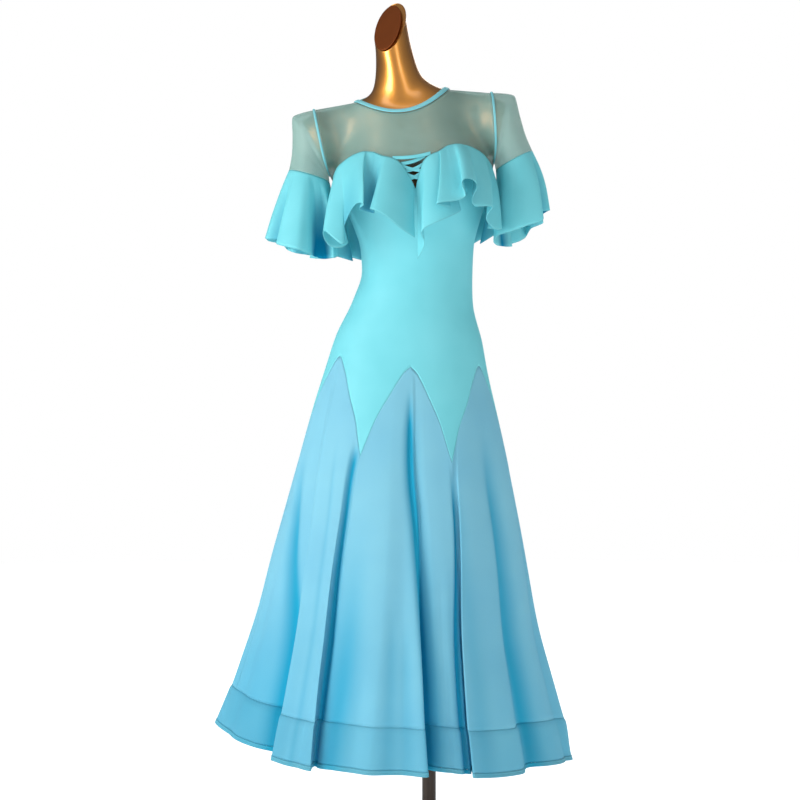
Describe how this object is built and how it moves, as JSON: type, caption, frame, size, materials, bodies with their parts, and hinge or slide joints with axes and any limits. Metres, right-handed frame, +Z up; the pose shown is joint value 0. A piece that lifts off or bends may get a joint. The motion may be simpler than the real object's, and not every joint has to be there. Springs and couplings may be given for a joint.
{
  "type": "ballroom dance dress on a dress form",
  "caption": "Ballroom dance dress with sheer yoke and sleeves, flounces, laced notch and gored chiffon skirt, worn by a limbless gold dress form on a pole and round base.",
  "frame": {"origin": "middle of the base plate's underside, on the stand pole's axis", "axes": "+Z up the pole towards the neck; the dress faces -Y; +X is the wearer's left"},
  "size_m": [0.6768, 0.6484, 1.5808],
  "materials": {
    "turquoise_knit": "smooth satin knit",
    "sheer_mesh": "sheer stretch mesh",
    "chiffon": "fine matt chiffon",
    "gold_form": "polished gold plating on fibreglass",
    "bronze_face": "satin bronze",
    "dark_steel": "dark brown satin paint"
  },
  "bodies": {
    "root": {"bodice_front": "turquoise_knit", "bodice_back": "turquoise_knit", "neck_binding": "turquoise_knit", "armhole_tape_left": "turquoise_knit", "armhole_tape_right": "turquoise_knit", "sleeve_flounce_left": "turquoise_knit", "sleeve_flounce_right": "turquoise_knit", "bust_flounce_left": "turquoise_knit", "bust_flounce_right": "turquoise_knit", "back_flounce": "turquoise_knit", "lace_1": "turquoise_knit", "lace_2": "turquoise_knit", "lace_3": "turquoise_knit", "lace_4": "turquoise_knit", "lace_5": "turquoise_knit", "lace_6": "turquoise_knit", "yoke_front": "sheer_mesh", "yoke_back": "sheer_mesh", "sleeve_left": "sheer_mesh", "sleeve_right": "sheer_mesh", "skirt_gore_1": "chiffon", "skirt_gore_2": "chiffon", "skirt_gore_3": "chiffon", "skirt_gore_4": "chiffon", "skirt_gore_5": "chiffon", "skirt_gore_6": "chiffon", "hem_band": "chiffon", "hem_braid": "chiffon", "form_torso": "gold_form", "form_neck_cap": "bronze_face", "stand_socket": "dark_steel", "stand_pole": "dark_steel", "stand_base": "dark_steel"}
  },
  "joints": []
}
